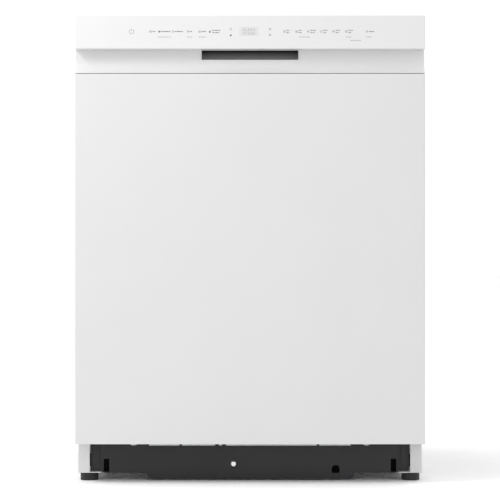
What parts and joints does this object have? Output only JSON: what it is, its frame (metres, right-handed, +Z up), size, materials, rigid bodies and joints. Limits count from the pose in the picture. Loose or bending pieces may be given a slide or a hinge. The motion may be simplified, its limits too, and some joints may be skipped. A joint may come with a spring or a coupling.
{
  "type": "built-in dishwasher",
  "caption": "White built-in dishwasher: flat door with fascia and scooped pocket handle, black toe cover, levelling feet, stainless tub, sliding racks, spray arms.",
  "frame": {"origin": "on the floor under the middle of the body", "axes": "+X to the right seen from the front, +Y from the door to the wall, +Z up"},
  "size_m": [0.606, 0.625, 0.812],
  "materials": {
    "white_enamel": "white baked enamel on steel, low gloss",
    "white_plastic": "white moulded plastic, satin",
    "display_tint": "translucent white window",
    "dark_plastic": "dark grey moulded plastic",
    "black_plastic": "black moulded plastic, fine grain",
    "grey_plastic": "mid grey moulded plastic",
    "light_plastic": "light grey moulded plastic",
    "clear_plastic": "milky clear moulded plastic",
    "stainless": "brushed stainless sheet",
    "galvanised": "galvanised sheet",
    "screw_steel": "bright plated steel",
    "spring_steel": "oiled spring steel",
    "rubber_grey": "grey door rubber",
    "rack_coating": "grey nylon coated wire",
    "felt": "dark pressed felt blanket",
    "cord": "braided cord",
    "filter_mesh": "perforated stainless"
  },
  "bodies": {
    "root": {"tub_shell": "stainless", "tub_gasket": "rubber_grey", "tub_floor": "stainless", "insulation_blanket": "felt", "air_break": "clear_plastic", "front_frame": "galvanised", "base_side_left": "white_enamel", "base_side_right": "white_enamel", "front_crossmember": "galvanised", "rear_crossmember": "galvanised", "toe_cover": "black_plastic", "toe_cover_clips": "black_plastic", "hinge_brackets": "galvanised", "latch_strike": "screw_steel", "sump": "dark_plastic", "filter_screen": "filter_mesh", "circulation_pump": "black_plastic", "drain_pump": "light_plastic", "inlet_valve": "light_plastic", "junction_box": "galvanised", "feed_pipe": "grey_plastic", "upper_tracks_fixed": "stainless", "door_springs": "spring_steel", "spring_cords": "cord"},
    "door": {"outer_door_panel": "white_enamel", "control_console": "white_plastic", "display_lens": "display_tint", "handle_pocket": "dark_plastic", "inner_door_panel": "stainless", "door_bottom_seal": "rubber_grey", "control_module": "black_plastic", "door_screws": "screw_steel", "hinge_arms": "galvanised", "latch_body": "light_plastic", "dispenser_body": "light_plastic"},
    "lower_rack": {"lower_rack": "rack_coating", "silverware_basket": "grey_plastic"},
    "latch_hook": {"latch_hook": "galvanised"},
    "detergent_lid": {"detergent_lid": "light_plastic"},
    "rinse_aid_cap": {"rinse_aid_cap": "grey_plastic"},
    "spring_hooks": {"spring_hooks": "black_plastic"},
    "cord_pulleys": {"cord_pulleys": "light_plastic"},
    "foot_front_left": {"foot_front_left": "black_plastic"},
    "foot_front_right": {"foot_front_right": "black_plastic"},
    "foot_rear": {"foot_rear": "black_plastic"},
    "rear_foot_rod": {"rear_foot_rod": "screw_steel"},
    "filter_cylinder": {"filter_cylinder": "grey_plastic"},
    "float": {"float": "grey_plastic"},
    "pump_impeller": {"pump_impeller": "light_plastic"},
    "lower_spray_arm": {"lower_spray_arm": "grey_plastic"},
    "middle_spray_arm": {"middle_spray_arm": "grey_plastic"},
    "top_spray_arm": {"top_spray_arm": "grey_plastic"},
    "fold_tines": {"fold_tines": "rack_coating"},
    "lower_rack_front_wheels": {"lower_rack_front_wheels": "grey_plastic"},
    "lower_rack_rear_wheels": {"lower_rack_rear_wheels": "grey_plastic"},
    "upper_rack": {"upper_rack": "rack_coating"},
    "cup_shelf": {"cup_shelf": "rack_coating"},
    "upper_tracks_sliding": {"upper_tracks_sliding": "stainless"},
    "upper_rack_front_rollers": {"upper_rack_front_rollers": "light_plastic"},
    "upper_rack_rear_rollers": {"upper_rack_rear_rollers": "light_plastic"}
  },
  "joints": [
    {"name": "door_hinge", "type": "hinge", "parent": "root", "child": "door", "pos_m": [0, -0.29, 0.1], "axis": [1, 0, 0], "range_deg": [0, 90], "stiffness_Nm_per_rad": 15, "deforming": ["door_springs", "spring_cords"]},
    {"name": "latch_hook_pivot", "type": "hinge", "parent": "door", "child": "latch_hook", "pos_m": [0, -0.285, 0.793], "axis": [-1, 0, 0], "range_deg": [0, 20], "stiffness_Nm_per_rad": 0.05},
    {"name": "detergent_lid_pivot", "type": "hinge", "parent": "door", "child": "detergent_lid", "pos_m": [-0.075, -0.2525, 0.36122], "axis": [0, 0, 1], "range_deg": [0, 100]},
    {"name": "rinse_aid_cap_turn", "type": "hinge", "parent": "door", "child": "rinse_aid_cap", "pos_m": [0.042, -0.256, 0.36122], "axis": [0, 1, 0], "range_deg": [0, 90]},
    {"name": "spring_hook_slide", "type": "slide", "parent": "root", "child": "spring_hooks", "axis": [0, -1, 0], "range_m": [0, 0.0553]},
    {"name": "cord_pulley_spin", "type": "hinge", "parent": "root", "child": "cord_pulleys", "pos_m": [0, -0.238, 0.064], "axis": [1, 0, 0], "continuous": true},
    {"name": "front_left_foot_turn", "type": "hinge", "parent": "root", "child": "foot_front_left", "pos_m": [-0.284, -0.236, 0.006], "axis": [0, 0, 1], "continuous": true},
    {"name": "front_right_foot_turn", "type": "hinge", "parent": "root", "child": "foot_front_right", "pos_m": [0.284, -0.236, 0.006], "axis": [0, 0, 1], "continuous": true},
    {"name": "rear_foot_rod_turn", "type": "hinge", "parent": "root", "child": "rear_foot_rod", "pos_m": [-0.029, 0, 0.0285], "axis": [0, 1, 0], "continuous": true},
    {"name": "rear_foot_turn", "type": "hinge", "parent": "root", "child": "foot_rear", "pos_m": [0, 0.262, 0.006], "axis": [0, 0, 1], "continuous": true},
    {"name": "filter_twist", "type": "hinge", "parent": "root", "child": "filter_cylinder", "pos_m": [0, 0.112, 0.112], "axis": [0, 0, 1], "range_deg": [0, 90]},
    {"name": "float_rise", "type": "slide", "parent": "root", "child": "float", "axis": [0, 0, 1], "range_m": [0, 0.008]},
    {"name": "pump_impeller_spin", "type": "hinge", "parent": "root", "child": "pump_impeller", "pos_m": [0.095, 0.065, 0.07], "axis": [1, 0, 0], "continuous": true},
    {"name": "lower_arm_spin", "type": "hinge", "parent": "root", "child": "lower_spray_arm", "pos_m": [0, 0.017, 0.137], "axis": [0, 0, 1], "continuous": true},
    {"name": "middle_arm_spin", "type": "hinge", "parent": "upper_rack", "child": "middle_spray_arm", "pos_m": [0, 0.017, 0.40822], "axis": [0, 0, 1], "continuous": true},
    {"name": "top_arm_spin", "type": "hinge", "parent": "root", "child": "top_spray_arm", "pos_m": [0, 0.017, 0.751], "axis": [0, 0, 1], "continuous": true},
    {"name": "lower_rack_slide", "type": "slide", "parent": "root", "child": "lower_rack", "axis": [0, -1, 0], "range_m": [0, 0.5]},
    {"name": "fold_tines_pivot", "type": "hinge", "parent": "lower_rack", "child": "fold_tines", "pos_m": [-0.06, 0, 0.1719], "axis": [0, 1, 0], "range_deg": [0, 80]},
    {"name": "lower_front_wheel_roll", "type": "hinge", "parent": "lower_rack", "child": "lower_rack_front_wheels", "pos_m": [0, -0.15, 0.144], "axis": [1, 0, 0], "continuous": true},
    {"name": "lower_rear_wheel_roll", "type": "hinge", "parent": "lower_rack", "child": "lower_rack_rear_wheels", "pos_m": [0, 0.15, 0.144], "axis": [1, 0, 0], "continuous": true},
    {"name": "upper_rack_slide", "type": "slide", "parent": "root", "child": "upper_rack", "axis": [0, -1, 0], "range_m": [0, 0.45]},
    {"name": "upper_track_slide", "type": "slide", "parent": "root", "child": "upper_tracks_sliding", "axis": [0, -1, 0], "range_m": [0, 0.225]},
    {"name": "upper_front_roller_roll", "type": "hinge", "parent": "upper_rack", "child": "upper_rack_front_rollers", "pos_m": [0, 0.02, 0.52022], "axis": [1, 0, 0], "continuous": true},
    {"name": "upper_rear_roller_roll", "type": "hinge", "parent": "upper_rack", "child": "upper_rack_rear_rollers", "pos_m": [0, 0.2, 0.52022], "axis": [1, 0, 0], "continuous": true},
    {"name": "cup_shelf_pivot", "type": "hinge", "parent": "upper_rack", "child": "cup_shelf", "pos_m": [-0.236, 0, 0.60322], "axis": [0, -1, 0], "range_deg": [0, 85]}
  ],
  "couplings": [
    {"joint": "upper_rack_slide", "follows": "door_hinge", "m_per_rad": 0.28648},
    {"joint": "upper_track_slide", "follows": "door_hinge", "m_per_rad": 0.14324},
    {"joint": "lower_rack_slide", "follows": "door_hinge", "m_per_rad": 0.08},
    {"joint": "lower_front_wheel_roll", "follows": "door_hinge", "ratio": 5},
    {"joint": "lower_rear_wheel_roll", "follows": "door_hinge", "ratio": 5},
    {"joint": "upper_front_roller_roll", "follows": "door_hinge", "ratio": 16.094},
    {"joint": "upper_rear_roller_roll", "follows": "door_hinge", "ratio": 16.094},
    {"joint": "spring_hook_slide", "follows": "door_hinge", "m_per_rad": 0.034857},
    {"joint": "cord_pulley_spin", "follows": "door_hinge", "ratio": -4.3572},
    {"joint": "rear_foot_turn", "follows": "rear_foot_rod_turn", "ratio": 0.041667}
  ]
}
